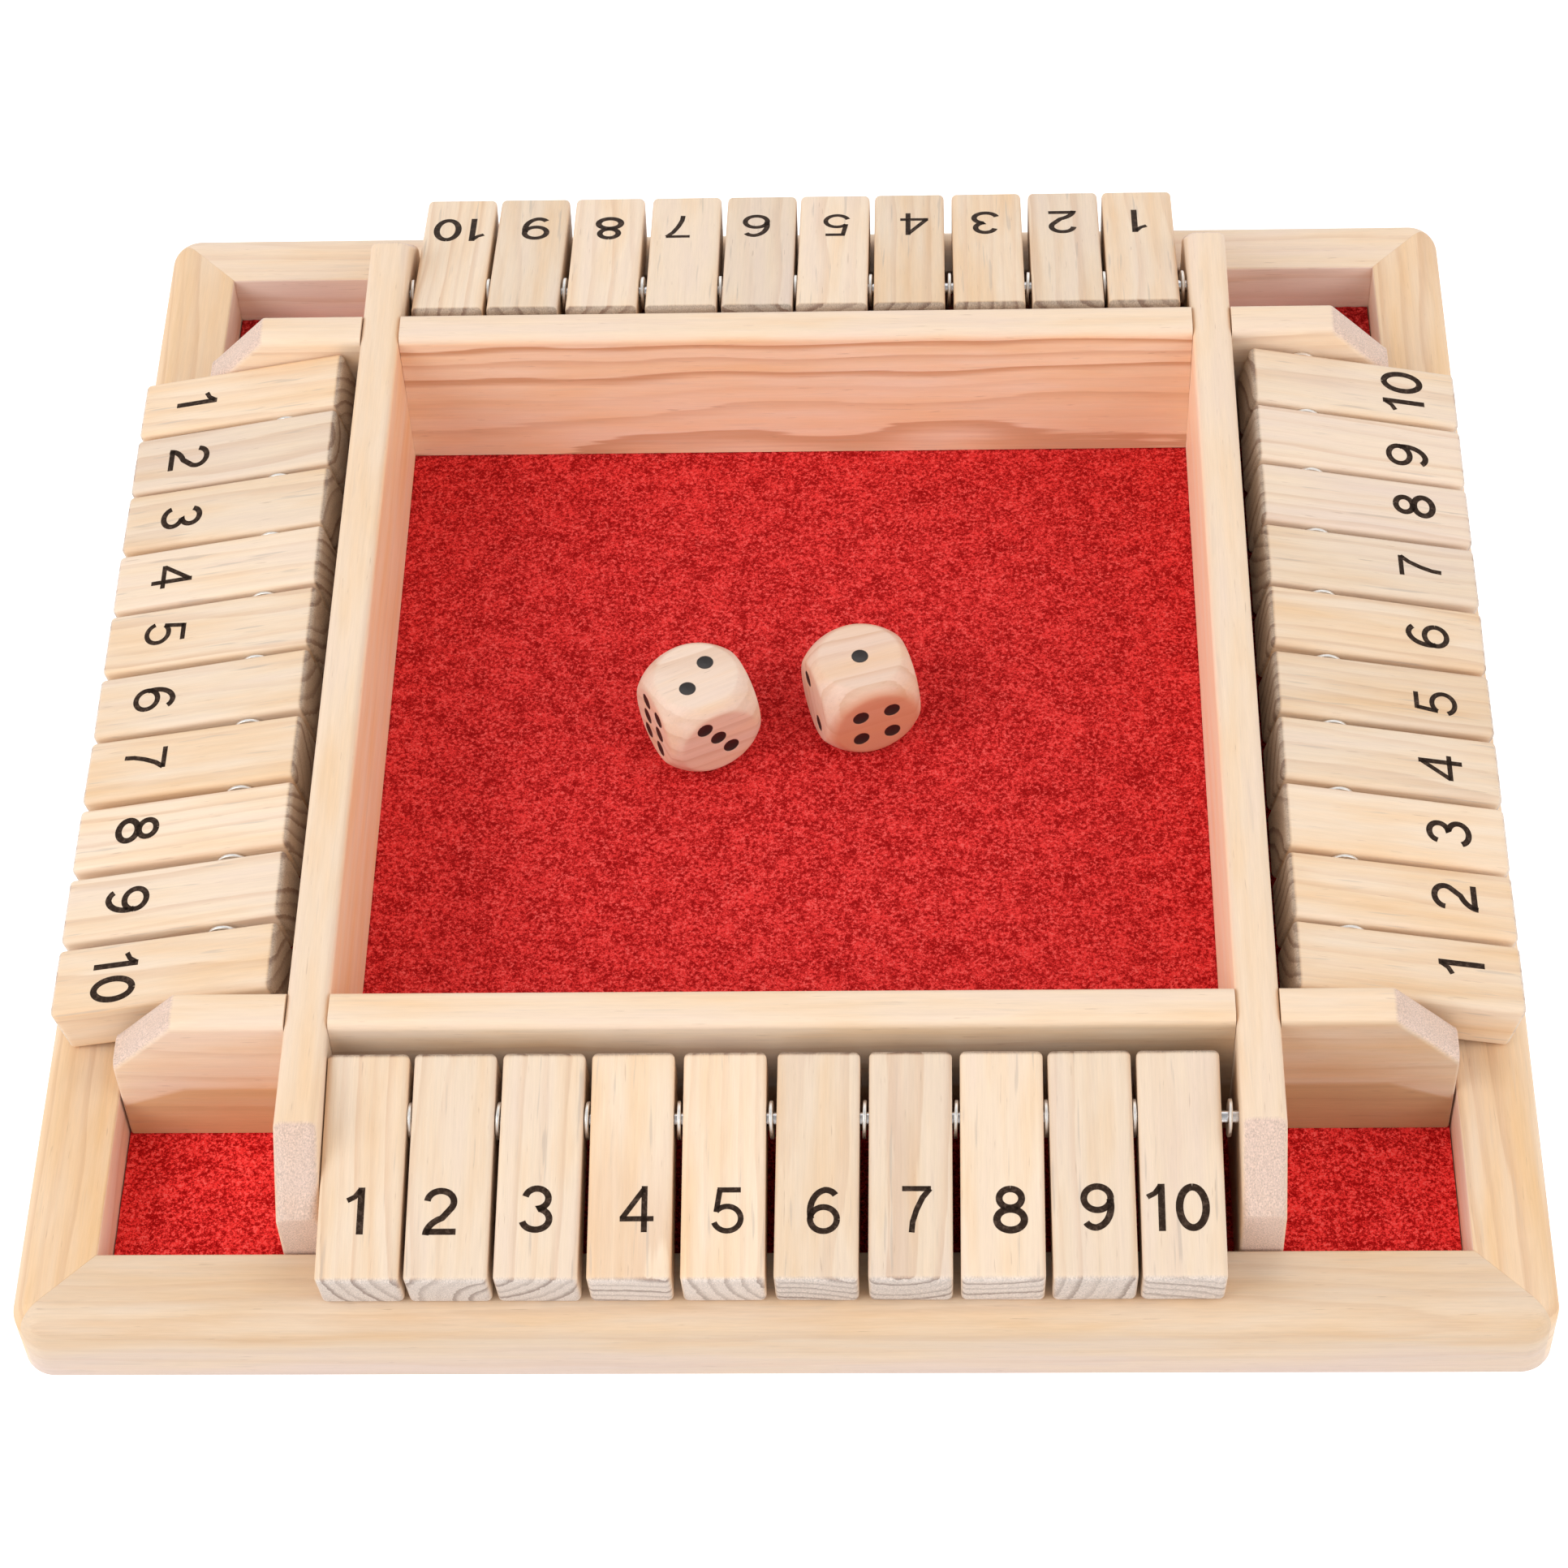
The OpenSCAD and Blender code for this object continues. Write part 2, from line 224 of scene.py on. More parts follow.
def pine_material(name, board=None, **values):
    """Pine under a thin matt lacquer. The mesh holds its board point, share of sawn end, and
    tone, which is warmth, light and ring strength. Where board is given, it scales and moves
    Object coordinates to make the board point instead."""
    material, tree, shader = surface_material(
        name, {"Specular IOR Level": 0.35, "Coat Weight": 0.06, "Coat Roughness": 0.35})
    grain = shader_node(tree, "Group", {"node_tree": pine_group}, {})
    if board is None:
        tree.links.new(attribute(tree, "board", "Vector"), grain.inputs["Board"])
        tree.links.new(attribute(tree, "end", "Fac"), grain.inputs["End"])
        tone = shader_node(tree, "SeparateXYZ", {}, {0: attribute(tree, "tone", "Vector")})
        for axis, socket in (("X", "Warmth"), ("Y", "Light"), ("Z", "Ring Strength")):
            tree.links.new(tone.outputs[axis], grain.inputs[socket])
    else:
        place = shader_node(tree, "Mapping", {}, {"Vector": object_point(tree), **board})
        tree.links.new(place.outputs[0], grain.inputs["Board"])
    for socket, value in values.items():
        grain.inputs[socket.replace("_", " ")].default_value = value
    dress(tree, shader, *grain.outputs, PINE_DEPTH)
    return material


def finish_node(name, material):
    """Gives a CAD node's object its material."""
    nodes[name].data.materials.clear()
    nodes[name].data.materials.append(material)


plywood = pine_material(
    "Plywood", board={"Scale": (1 / MM,) * 3, "Location": (0, 40, 9)},
    Pale=(0.62, 0.44, 0.26, 1), Late=(0.42, 0.26, 0.13, 1), Ring_Width=3.1, Ring_Strength=0.5)
finish_node("base_board", plywood)


# --------------------
# Felt
# One sheet of short red wool felt, glued over the whole base before the boards go in, so
# that it shows in the well and in the four corner pockets.

FELT_CELLS = 300
FELT_NAP = 0.10 * MM
# The most that a tuft stands above or below the middle of the nap, as a share of the nap
FELT_TUFT = 1.8
FELT_DEPTH = 0.30 * MM
# Deep and bright red mix into a mottle that is partly painted light and shade on the pile; the
# fleck colour is painted glints on the tufts
FELT_DEEP = (0.32, 0.001, 0.002, 1)
FELT_BRIGHT = (0.87, 0.042, 0.040, 1)
FELT_PAINTED_GLINT = (0.94, 0.21, 0.19, 1)
# Half the well's width, and how bright the felt beside it is at the front, which is painted light,
# and at the back, which is painted shade
WELL_HALF = 66 * MM
FRONT_POCKET_PAINTED_LIGHT = 1.35
BACK_POCKET_PAINTED_SHADE = 0.75


def place_object(name, data):
    """A new object in the scene that holds the data."""
    made = bpy.data.objects.new(name, data)
    bpy.context.scene.collection.objects.link(made)
    return made


def add_mesh(name, points, faces, material, corners=None, smooth=35):
    """A mesh object, shaded smooth up to an angle in degrees. Corners holds the values of its
    attributes, per point or, where there are as many, per face corner."""
    mesh = bpy.data.meshes.new(name)
    mesh.from_pydata(np.asarray(points, float), [], faces)
    for key, values in (corners or {}).items():
        values = np.asarray(values, np.float32)
        domain = "CORNER" if len(values) == len(mesh.loops) else "POINT"
        kind, field = ("FLOAT_VECTOR", "vector") if values.ndim == 2 else ("FLOAT", "value")
        mesh.attributes.new(key, kind, domain).data.foreach_set(field, values.ravel())
    mesh.materials.append(material)
    mesh.shade_smooth()
    mesh.set_sharp_from_angle(angle=math.radians(smooth))
    mesh.update()
    return place_object(name, mesh)


def grid_quads(rows, columns, wrap=False):
    """Faces of a grid of points stored row by row; wrap joins the last column to the first."""
    index = np.arange(rows * columns).reshape(rows, columns)
    right = np.roll(index, -1, axis=1)
    a, b, c, d = index[:-1], right[:-1], right[1:], index[1:]
    faces = np.stack([a, b, c, d], axis=-1)
    return (faces if wrap else faces[:, :-1]).reshape(-1, 4)


def make_felt_material():
    """Three sizes of noise between deep and bright red, for wool fibres that lie every way: partly
    the felt's own colour and partly painted light and shade on its pile, with pale flecks that are
    painted glints. Beside the well, painted light brightens the front pockets and painted shade
    darkens the back ones."""
    material, tree, shader = surface_material(
        "Red felt", {"Roughness": 0.95, "Specular IOR Level": 0.12, "Sheen Weight": 0.03,
                     "Sheen Roughness": 0.5, "Sheen Tint": (1.0, 0.50, 0.45, 1)})
    coordinates = object_point(tree)
    tufts = stretched_noise(tree, coordinates, (1800, 1900, 1800), 2.0, 0.8).outputs[0]
    fibres = stretched_noise(tree, coordinates, (4200, 3600, 4200), 2.0, 0.6).outputs[0]
    mats = stretched_noise(tree, coordinates, (260, 300, 260), 2.0, 0.9).outputs[0]
    level = maths(tree, "MULTIPLY_ADD", fibres, 0.32, maths(tree, "MULTIPLY", tufts, 0.95))
    level = maths(tree, "MULTIPLY_ADD", mats, 0.36, level)
    colour = mixed(tree, ramped(tree, level, 0.66, 0.96), FELT_DEEP, FELT_BRIGHT)
    # Pale flecks on the tufts: painted glints of light
    painted_glints = maths(tree, "MULTIPLY", ramped(tree, tufts, 0.54, 0.70), 0.42)
    colour = mixed(tree, painted_glints, colour, FELT_PAINTED_GLINT)
    place = shader_node(tree, "SeparateXYZ", {}, {0: coordinates})
    off_middle = maths(tree, "ABSOLUTE", place.outputs["X"])
    aside = ramped(tree, off_middle, WELL_HALF, WELL_HALF + 2 * MM)
    # Beside the well: painted light in the front pockets and painted shade in the back ones
    pocket_light_and_shade = ramped(tree, place.outputs["Y"], -WELL_HALF, WELL_HALF, FRONT_POCKET_PAINTED_LIGHT, BACK_POCKET_PAINTED_SHADE)
    colour = scaled(tree, colour, ramped(tree, aside, 0.0, 1.0, 1.0, pocket_light_and_shade))
    dress(tree, shader, colour, height=level, depth=FELT_DEPTH)
    return material


def lay_felt():
    """A square grid raised by smoothed random tufts, whose rim runs down to a flat underside."""
    low, high = (np.array(corner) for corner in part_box("felt_sheet"))
    count = FELT_CELLS + 1
    rng = np.random.default_rng(7)
    tufts = rng.normal(size=(count, count))
    for axis in (0, 1):
        tufts = (tufts + np.roll(tufts, 1, axis)) / 2
    side = np.linspace(low[0], high[0], count)
    x, y = np.meshgrid(side, side)
    z = high[2] - 2 * FELT_NAP + np.clip(tufts, -FELT_TUFT, FELT_TUFT) * FELT_NAP
    top = np.stack([x, y, z], axis=-1).reshape(-1, 3)
    index = np.arange(count * count).reshape(count, count)
    rim = np.concatenate([index[0, :-1], index[:-1, -1], index[-1, :0:-1], index[:0:-1, 0]])
    under = top[rim].copy()
    under[:, 2] = low[2]
    below = np.arange(len(rim)) + len(top)
    sides = np.stack([rim, below, np.roll(below, -1), np.roll(rim, -1)], axis=-1)
    faces = grid_quads(count, count).tolist() + sides.tolist() + [below[::-1].tolist()]
    felt = add_mesh("felt", np.concatenate([top, under]), faces, make_felt_material(), smooth=60)
    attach(felt, "frame")
    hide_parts("felt_sheet")


lay_felt()


# --------------------
# Rails
# Four lengths of pale pine with a rounded outer top edge and a rebate underneath, mitred,
# glued and sanded round at the corners. The mitres show as fine dark lines.

SIDES = ["front", "right", "back", "left"]
RAIL_ROUND = 4 * MM
RAIL_CORNER = 5 * MM
REBATE = 6 * MM
RAIL_EASE = 0.4 * MM
MITRE_LINE = 0.05 * MM
# Rings along half a rail: the first count up to this share of its length, the second beyond it
CORNER_SHARE = 0.955
RAIL_RINGS = (24, 14)
# What the foot of the outer face, partly painted light, and the inner face, painted light bounced
# off the red felt, add to warmth, lightness and ring strength
RAIL_FOOT_TONE_AND_LIGHT = np.array((-1.2, 0.07, -0.1))
RAIL_INSIDE_PAINTED_BOUNCE = np.array((-1.0, 0.10, 0.0))

pine = pine_material("Pine")


def arc(centre, radius, start, end, steps):
    """Points along a circle's arc, angles in degrees."""
    angle = np.radians(np.linspace(start, end, steps + 1))
    return np.stack([np.cos(angle), np.sin(angle)], axis=-1) * radius + centre


def loft(name, rings, material, board, tone, end):
    """Skins rings of points, one after another, and closes both ends. Board, tone and end, the
    share of sawn end, go to the pine per ring point or as one value. The two closing faces are
    all sawn end."""
    rows, columns = rings.shape[:2]
    spread = rings - rings.mean(axis=1)[:, None]
    along = rings[-1].mean(axis=0) - rings[0].mean(axis=0)
    inwards = (np.cross(spread, np.roll(spread, -1, axis=1)) @ along).sum() < 0
    skin = grid_quads(rows, columns, wrap=True)
    first, last = np.arange(columns)[::-1], np.arange(columns) + (rows - 1) * columns
    if inwards:
        skin, first, last = skin[:, ::-1], first[::-1], last[::-1]
    order = np.concatenate([skin.ravel(), first, last])
    sawn = np.broadcast_to(end, (rows, columns)).ravel()[order]
    sawn[skin.size:] = 1.0
    values = {key: np.broadcast_to(value, rings.shape).reshape(-1, 3)[order]
              for key, value in (("board", board), ("tone", tone))}
    return add_mesh(name, rings.reshape(-1, 3), skin.tolist() + [first.tolist(), last.tolist()],
                    material, {"end": sawn, **values})


def spun(points, degrees):
    """Points turned about Z."""
    c, s = math.cos(math.radians(degrees)), math.sin(math.radians(degrees))
    return points @ np.array([[c, s, 0], [-s, c, 0], [0, 0, 1]])


def turned(points, side):
    """Points made for the front side, turned to another side about Z."""
    return spun(points, 90 * SIDES.index(side))


def make_rail(side, pith, tone):
    """The section runs as depth from the outer face and height. A point of depth d keeps to its own
    path: straight, then round the tray's corner on a radius of corner minus d, up to the mitre. The
    outer face is paler towards its foot, partly the wood's own tone and partly painted light, and
    the inner face is pinker and lighter, which is painted light bounced off the red felt."""
    low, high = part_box("rail_front")
    out, width, height, base = -low.y, high.y - low.y, high.z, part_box("base_board")[1].z
    upright = height - RAIL_ROUND - RAIL_EASE
    section = np.concatenate([
        arc((RAIL_EASE, RAIL_EASE), RAIL_EASE, 270, 180, 3),
        np.stack([np.zeros(4), np.linspace(0.2, 1, 4) * upright], axis=-1),
        arc((RAIL_ROUND, height - RAIL_ROUND), RAIL_ROUND, 180, 90, 12),
        [(RAIL_ROUND + RAIL_EASE, height), (width - 2 * RAIL_EASE, height)],
        arc((width - RAIL_EASE, height - RAIL_EASE), RAIL_EASE, 90, 0, 4),
        [(width, base), (width - REBATE, base), (width - REBATE, 0), (2 * RAIL_EASE, 0)]])
    depth, level = section[:, 0], section[:, 1]
    share = np.concatenate([np.linspace(0, CORNER_SHARE, RAIL_RINGS[0]),
                            np.linspace(CORNER_SHARE, 1, RAIL_RINGS[1])[1:]])
    bend = np.maximum(RAIL_CORNER - depth, 0)
    straight = out - np.maximum(depth, RAIL_CORNER)
    travel = share[:, None] * (straight + bend * math.pi / 4)
    angle = np.where(bend > 0, np.maximum(travel - straight, 0) / np.maximum(bend, 1e-9), 0)
    x = np.minimum(travel, straight) + bend * np.sin(angle)
    y = -np.where(bend > 0, out - RAIL_CORNER + bend * np.cos(angle), out - depth)
    half = np.stack([x, y, np.broadcast_to(level, x.shape)], axis=-1)
    seam = half[-1] + (half[-1].mean(axis=0) - half[-1]) * (2 * MITRE_LINE / width)
    half[-1, :, 0] -= MITRE_LINE
    half = np.concatenate([half, seam[None]])
    rings = np.concatenate([half[:0:-1] * (-1, 1, 1), half])
    board = rings / MM + (0, out / MM, 0) + np.array(pith)
    foot = np.clip(1 - level / (height - RAIL_ROUND), 0, 1) * (depth < width / 2)
    inside = (depth > width - RAIL_EASE / 2) * (level < height - RAIL_EASE / 2)
    # The foot's tone is partly painted light, and the inner face's tone is painted light bounced
    # off the felt
    tones = np.array(tone) + foot[:, None] * RAIL_FOOT_TONE_AND_LIGHT + inside[:, None] * RAIL_INSIDE_PAINTED_BOUNCE
    rail = loft(f"pine_rail_{side}", turned(rings, side), pine, board, tones, 0.0)
    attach(rail, "frame")
    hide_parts(f"rail_{side}")


# Each rail's pith in its own millimetres, and its warmth, lightness and ring strength
RAIL_LOOKS = {
    "front": ((300, 16, -24), (0.30, -0.125, 0.22)),
    "right": ((900, 9, -30), (0.55, 0.0, 0.50)),
    "back": ((1500, 15, -30), (-0.02, 0.02, 0.28)),
    "left": ((2100, 26, 12), (0.60, -0.035, 0.32)),
}
for rail_side, (rail_pith, rail_tone) in RAIL_LOOKS.items():
    make_rail(rail_side, rail_pith, rail_tone)


# --------------------
# Boards
# Four pine boards with rounded top edges and their top corners sawn off at 45 degrees. They
# cross in half laps and stand on the felt; the left and right ones run through on top.

BOARD_ROUND = 1.5 * MM
BOARD_CHAMFER = 10 * MM
BOARD_EASE = 0.5 * MM
CHAMFER_SOFT = 0.8 * MM
LAP_GAP = 0.05 * MM
LAP_STEP = 0.02 * MM
LAP_EDGE = 0.02 * MM
# The share of sawn end on a board's ends and its sawn off corners
BOARD_END = 0.9
# How much of the ring strength is lost on the planed top edges
CREST_CALM = 0.8
# What the outer face adds to its tone at its foot, which is painted shade, and the share of the
# height where that fades
FOOT_PAINTED_SHADE = np.array((0.85, -0.14, 0.0))
FOOT_SHADE_SHARE = (0.40, 0.44)

board_pine = pine_material("Board pine", Sawn_Rings=-0.2)


def board_rings(stations):
    """Rings along X from rows of x, half width, low and high edge, and the top edges' radius."""
    quarter = arc((0, 0), 1.0, 180, 90, 8)
    rings = []
    for x, w, z0, z1, r, _ in stations:
        side = [(-w, z0), *((-w, z0 + share * (z1 - z0)) for share in FOOT_SHADE_SHARE),
                (-w, z1 - r - min(0.3 * MM, 0.25 * (z1 - z0)))]
        crest = [(-w + r + 0.3 * (w - r), z1)]
        half = np.concatenate([side, (-w + r, z1 - r) + r * quarter, crest])
        rings.append(np.insert(np.concatenate([half, half[::-1] * (-1, 1)]), 0, x, axis=1))
    return np.array(rings)


def make_board(side, through, pith, tone, outer_tone_and_shade, inner_tone_and_light):
    """Along half the board: the sawn end with eased edges, the corner sawn off at 45 degrees and
    softened, the top, and a step at each edge of the half lap. The other half is its mirror image.
    The outer face is darker at its foot, which is painted shade; the outer tone, partly painted
    shade, grows along it from the middle to one end, and the inner tone, partly painted light
    bounced off the felt, is that of the face towards the well."""
    low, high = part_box(f"wall_{side}")
    size = np.array(high) - np.array(low)
    length, thick = size[:2].max() / 2, size[:2].min()
    bottom, top = low.z, high.z
    middle = (bottom + top) / 2
    axis = 1 if side in ("front", "back") else 0
    crossing = abs(low[axis] + high[axis]) / 2
    rows = []

    def station(x, drop=0.0, pinch=0.0, sawn=0.0, notch=False):
        z0 = middle if notch and through else bottom
        z1 = middle if notch and not through else top - drop
        radius = LAP_EDGE if notch and not through else BOARD_ROUND
        rows.append((x, thick / 2 - pinch, z0, z1, radius, sawn))

    for angle in np.radians(np.linspace(0, 90, 5)):
        pinch = BOARD_EASE * (1 - math.sin(angle))
        x = length - BOARD_EASE * (1 - math.cos(angle))
        station(x, BOARD_CHAMFER + pinch, pinch, BOARD_END)
    bend = length - BOARD_CHAMFER - CHAMFER_SOFT * math.tan(math.radians(22.5))
    for angle in np.radians(np.linspace(45, 0, 4)):
        drop = CHAMFER_SOFT * (1 - math.cos(angle))
        sawn = BOARD_END * math.degrees(angle) / 45
        station(bend + CHAMFER_SOFT * math.sin(angle), drop, 0.0, sawn)
    station(bend - 2 * MM)
    for edge in (crossing + thick / 2 + LAP_GAP, crossing - thick / 2 - LAP_GAP):
        inside = edge < crossing
        station(edge + LAP_STEP / 2, notch=inside)
        station(edge - LAP_STEP / 2, notch=not inside)
    station(0.0)
    half = board_rings(rows)
    rings = np.concatenate([half, (half[:-1] * (-1, 1, 1))[::-1]])
    crest = np.clip((thick / 2 - np.abs(rings[..., 1])) / (0.25 * BOARD_ROUND), 0, 1)
    sawn = np.array(rows)[:, 5]
    sawn = np.concatenate([sawn, sawn[-2::-1]])[:, None] * crest
    flank = 1 - crest
    # The foot of the outer face takes painted shade
    foot = (np.arange(rings.shape[1]) < 2) * flank
    outer = np.clip(rings[..., 0] / crossing, 0, 1.1) * (rings[..., 1] < 0) * flank
    inner = (np.abs(rings[..., 0]) < crossing) * (rings[..., 1] > 0) * flank
    tones = np.array(tone) * (1 - CREST_CALM * crest[..., None]) ** (0, 0, 1)
    # The outer tone is partly painted shade, and the inner tone partly painted light bounced off
    # the felt
    for share, added in ((foot, FOOT_PAINTED_SHADE), (outer, outer_tone_and_shade), (inner, inner_tone_and_light)):
        tones = tones + share[..., None] * added
    wall = loft(f"pine_board_{side}", turned(rings - (0, crossing, 0), side), board_pine,
                rings / MM + pith, tones, sawn)
    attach(wall, "frame")
    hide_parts(f"wall_{side}")


# Whether each board runs through on top, its pith, and its warmth, lightness and ring strength,
# then what its outer face adds to them, partly painted shade, and what its inner face adds, partly
# painted light bounced off the felt
BOARD_LOOKS = {
    "front": (False, (300, 34, 8), (0.05, 0.02, 0.22), (0.32, -0.22, 0), (0.2, 0, 0)),
    "back": (False, (800, 22, -3), (-0.05, 0.02, 0.30), (0, 0, 0.1), (0.35, 0.06, 0.75)),
    "left": (True, (1300, 30, -38), (0.15, -0.01, 0.30), (0, 0, 0), (0.40, 0.10, -0.2)),
    "right": (True, (1900, 26, -33), (0, 0, 0.22), (0, 0, 0), (0.15, 0.19, -0.15)),
}
for board_side, board_look in BOARD_LOOKS.items():
    make_board(board_side, *board_look)


# --------------------
# Rods
# Four drawn steel rods, let into blind holes in the boards as these are glued together. Each
# carries ten tiles, with washers between them.

# Marks a metre, and how deep they are
STEEL_MARKS = 2500
STEEL_DEPTH = 0.004 * MM


def make_steel(name, colour, roughness):
    """Bright steel with fine marks all over, worn to a slightly uneven gloss."""
    material, tree, shader = surface_material(name, {"Metallic": 1.0})
    marks = stretched_noise(tree, object_point(tree), (STEEL_MARKS,) * 3, 3.0).outputs[0]
    rough = ramped(tree, marks, 0.3, 0.7, roughness, roughness + 0.15)
    shade = tuple(0.8 * part for part in colour[:3]) + (1,)
    dress(tree, shader, mixed(tree, marks, shade, colour), rough, marks, STEEL_DEPTH)
    return material


rod_steel = make_steel("Drawn steel", (0.80, 0.80, 0.82, 1), 0.18)
for rod_side in SIDES:
    finish_node(f"rod_{rod_side}", rod_steel)


# --------------------
# Tiles
# Pine strips cut to length, tumbled so that every edge is round, drilled near one end and
# hung on the rods. Each was cut from another place in the timber, so no two look alike.

hinges = {joint["child"]: joint for joint in frame["joints"]}
TILE_SIZE = np.array([12, 35, 9.4]) * MM
# How far a tile reaches past its rod, and how deep the rod lies under its face
TILE_TAIL = 9.4 * MM
BORE_DEPTH = 3.2 * MM
TILE_ROUND = 0.9 * MM
# Millimetres from a tile to the pith of its timber, and along that timber
PITH_REACH = (8, 40)
TIMBER = 900

# The end beside the rod: its share of sawn end, and what it adds to the tone, darker and browner,
# partly painted shade of the narrow gap beside the board
ROD_END_SAWN = 0.6
ROD_END_TONE_AND_SHADE = np.array((0.9, -0.36, 0.65))

tile_pine = pine_material(
    "Tile pine", Ring_Width=2.3, Pale=(0.88, 0.70, 0.53, 1), Sawn_End=(0.72, 0.62, 0.56, 1),
    Sawn_Rings=0.75, Stain=0.45)


def welded(points, faces, digits):
    """Which of the points stay once those that agree to so many digits of a millimetre are one,
    and the faces renumbered to suit."""
    keys = np.round(points / MM, digits)
    _, kept, place = np.unique(keys, axis=0, return_index=True, return_inverse=True)
    return kept, place.reshape(-1)[faces]


def rounded_block(size, radius):
    """A block with round edges, about the origin. Each point of a grid on the block's faces is
    pulled to the radius round the nearest point of the inner block, which is less by the radius
    on every side. Returns the points, their normals and the faces."""
    half = np.asarray(size) / 2
    step = radius * np.tan(np.radians([0, 15, 30, 45]))
    lines = [np.concatenate([-flat - step[::-1], [0.3 * MM - flat, 0, flat - 0.3 * MM],
                             flat + step]) for flat in half - radius]
    points, faces, total = [], [], 0
    for axis in range(3):
        u, v = (axis + 1) % 3, (axis + 2) % 3
        for sign in (-1, 1):
            gu, gv = np.meshgrid(lines[u], lines[v], indexing="ij")
            face = np.empty(gu.shape + (3,))
            face[..., axis], face[..., u], face[..., v] = sign * half[axis], gu, gv
            quads = grid_quads(*gu.shape) + total
            faces.append(quads if sign < 0 else quads[:, ::-1])
            points.append(face.reshape(-1, 3))
            total += gu.size
    points = np.concatenate(points)
    kept, faces = welded(points, np.concatenate(faces), 4)
    points = points[kept]
    core = np.clip(points, -half + radius, half - radius)
    away = points - core
    normal = away / np.linalg.norm(away, axis=1)[:, None]
    return core + radius * normal, normal, faces


def outward_faces(points, faces):
    """The quads, turned round if the closed mesh that they make has a negative volume."""
    a, b, c, d = (points[faces[:, k]] for k in range(4))
    volume = (np.cross(a, b) * c + np.cross(a, c) * d).sum()
    return faces if volume > 0 else faces[:, ::-1]


def mesh_values(parts, key, count):
    """An array of what a CAD mesh's points or faces hold under key, so many numbers to each."""
    values = np.empty(len(parts) * count, np.float32)
    parts.foreach_get(key, values)
    return values.reshape(-1, count)


def tile_axes(node):
    """Origin on the rod, and unit vectors: across the tile, up its face towards the board, and
    out of it. Out is the normal of the CAD tile's largest flat face that looks up."""
    hinge = hinges[node]
    across = -np.array(hinge["axis"], float)
    polygons = nodes[node].data.polygons
    normals, areas = mesh_values(polygons, "normal", 3), mesh_values(polygons, "area", 1)[:, 0]
    flat = (normals[:, 2] > 0.9) & (np.abs(normals @ across) < 1e-3)
    face = normals[np.argmax(np.where(flat, areas, 0))].astype(float)
    low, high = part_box(node)
    origin = np.array(hinge["pos_m"], float)
    middle = (np.array(low) + np.array(high)) / 2
    origin = origin + across * ((middle - origin) @ across)
    return origin, across, np.cross(face, across), face


# How the tiles differ, drawn for each from a seed: the least and the most warmth, lightness and
# ring strength, the lean along the rod in degrees, which leaves the two end tiles straight
# beside their boards, and how far a number is printed off its tile's middle in millimetres
TILE_SEED = 5
TILE_WARMTH = (-0.25, 0.40)
TILE_LIGHT = (-0.09, 0.03)
TILE_RINGS = (0.2, 0.4)
TILE_LEAN = 0.5
PRINT_SHIFT = 1.2


def tile_look(side, number):
    """A tile's warmth, lightness, ring strength and lean, and its number's shift."""
    rng = np.random.default_rng([TILE_SEED, SIDES.index(side), number])
    lean = rng.uniform(-TILE_LEAN, TILE_LEAN) if 1 < number < 10 else 0.0
    return (rng.uniform(*TILE_WARMTH), rng.uniform(*TILE_LIGHT), rng.uniform(*TILE_RINGS), lean,
            rng.uniform(-PRINT_SHIFT, PRINT_SHIFT))


TILE_LOOKS = {side: [tile_look(side, number) for number in range(1, 11)] for side in SIDES}


def leant_axes(node, lean):
    """The tile's origin and axes once turned by lean about its own middle, flat on the rail."""
    origin, across, up, out = tile_axes(node)
    reach = TILE_TAIL - TILE_SIZE[1] / 2
    angle = math.radians(lean)
    leant_up = up * math.cos(angle) - across * math.sin(angle)
    return origin + up * reach - leant_up * reach, np.cross(leant_up, out), leant_up, out


def make_tile(side, number, warmth, light, rings, lean):
    """A rounded block whose far end hangs over the rail; its board point has a pith of its own."""
    node = f"tile_{side}_{number}"
    points, normal, faces = rounded_block(TILE_SIZE, TILE_ROUND)
    rng = np.random.default_rng([SIDES.index(side), number])
    local = points + (0, TILE_TAIL - TILE_SIZE[1] / 2, BORE_DEPTH - TILE_SIZE[2] / 2)
    distance, direction = rng.uniform(*PITH_REACH), rng.uniform(0, 2 * math.pi)
    pith = (rng.uniform(0, TIMBER), distance * math.cos(direction), distance * math.sin(direction))
    origin, *axes = leant_axes(node, lean)
    rod_end = np.clip(normal[:, 1] * 3 - 0.5, 0, 1)
    free_end = np.clip(-normal[:, 1] * 2 - 0.6, 0, 1)
    # The end beside the rod is darkened, partly with painted shade
    looks = {"board": local[:, [1, 0, 2]] / MM + pith, "end": free_end + ROD_END_SAWN * rod_end,
             "tone": (warmth, light, rings) + rod_end[:, None] * ROD_END_TONE_AND_SHADE}
    tile = add_mesh(f"pine_{node}", origin + local @ np.array(axes),
                    outward_faces(points, faces).tolist(), tile_pine, looks)
    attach(tile, node)
    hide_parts(node)


for tile_side in SIDES:
    for tile_number, (*tile_look, _) in enumerate(TILE_LOOKS[tile_side], 1):
        make_tile(tile_side, tile_number, *tile_look)


# --------------------
# Washers
# Thin pressed steel washers with rounded rims, strung loosely on the rods between the tiles,
# so that each leans its own way as far as its gap lets it.

ROD_RADIUS = 1.0 * MM
WASHER_THICK = 0.5 * MM
WASHER_BORE = 2.4 * MM
WASHER_RIM = 0.12 * MM
WASHER_PLAY = 0.06 * MM
WASHER_LEAN = 3.0
WASHER_STEPS = 48
# Points of two washers lie at least this far apart along their rod
WASHER_APART = 2 * MM

washer_steel = make_steel("Pressed steel", (0.97, 0.95, 0.92, 1), 0.40)


